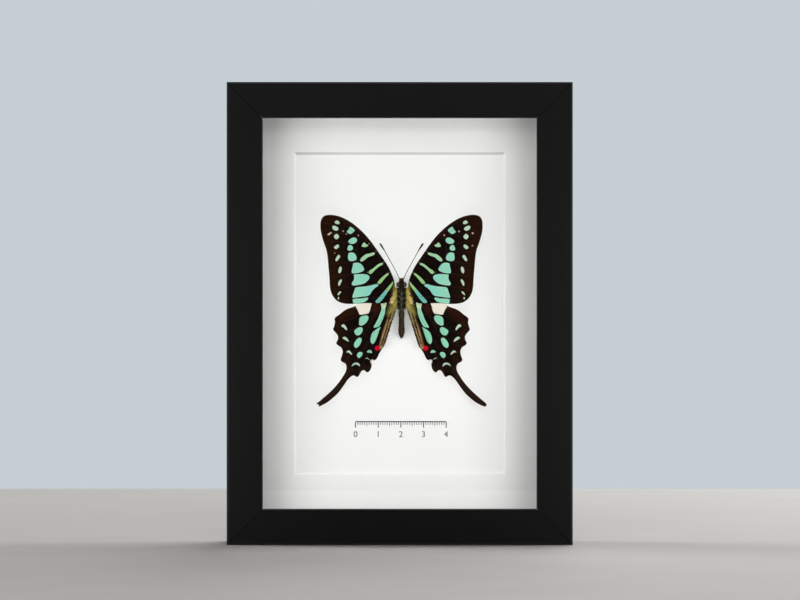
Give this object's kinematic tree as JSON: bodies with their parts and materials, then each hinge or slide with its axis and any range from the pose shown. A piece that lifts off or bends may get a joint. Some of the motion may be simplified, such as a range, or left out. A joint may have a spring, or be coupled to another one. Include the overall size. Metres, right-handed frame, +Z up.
{
  "type": "framed butterfly specimen",
  "caption": "Deep box frame with glass, bevel-cut mat and a spread swallowtail butterfly mounted on a pale card, standing on its own base.",
  "frame": {"origin": "middle of the frame's underside, where it stands", "axes": "+Z up along the frame's height, -Y out through the glass, +X to the right as seen from the front"},
  "size_m": [0.151, 0.035, 0.202],
  "materials": {
    "black_frame": "satin black paint",
    "glass": "clear polished",
    "spacer": "black foam strip",
    "mat": "off-white mat board",
    "card": "smooth white card",
    "back_board": "brown fibreboard",
    "steel": "zinc plated",
    "wing": "powdery scales with turquoise markings",
    "body": "short hair",
    "chitin": "dry horny skin",
    "glue": "dried clear glue"
  },
  "bodies": {
    "root": {"rail_bottom": "black_frame", "rail_top": "black_frame", "rail_left": "black_frame", "rail_right": "black_frame", "glass": "glass", "spacer_bottom": "spacer", "spacer_top": "spacer", "spacer_left": "spacer", "spacer_right": "spacer", "mat": "mat", "card": "card", "back_board": "back_board", "hanging_plate": "steel", "plate_screw_left": "steel", "plate_screw_right": "steel", "tab_bottom_a": "steel", "tab_bottom_b": "steel", "tab_top_a": "steel", "tab_top_b": "steel", "tab_left_a": "steel", "tab_left_b": "steel", "tab_right_a": "steel", "tab_right_b": "steel", "forewing_left": "wing", "forewing_right": "wing", "hindwing_left": "wing", "hindwing_right": "wing", "head": "body", "thorax": "body", "abdomen": "body", "antenna_left": "chitin", "antenna_right": "chitin", "leg_fore_left": "chitin", "leg_fore_right": "chitin", "leg_mid_left": "chitin", "leg_mid_right": "chitin", "leg_hind_left": "chitin", "leg_hind_right": "chitin", "glue_dab": "glue"}
  },
  "joints": []
}
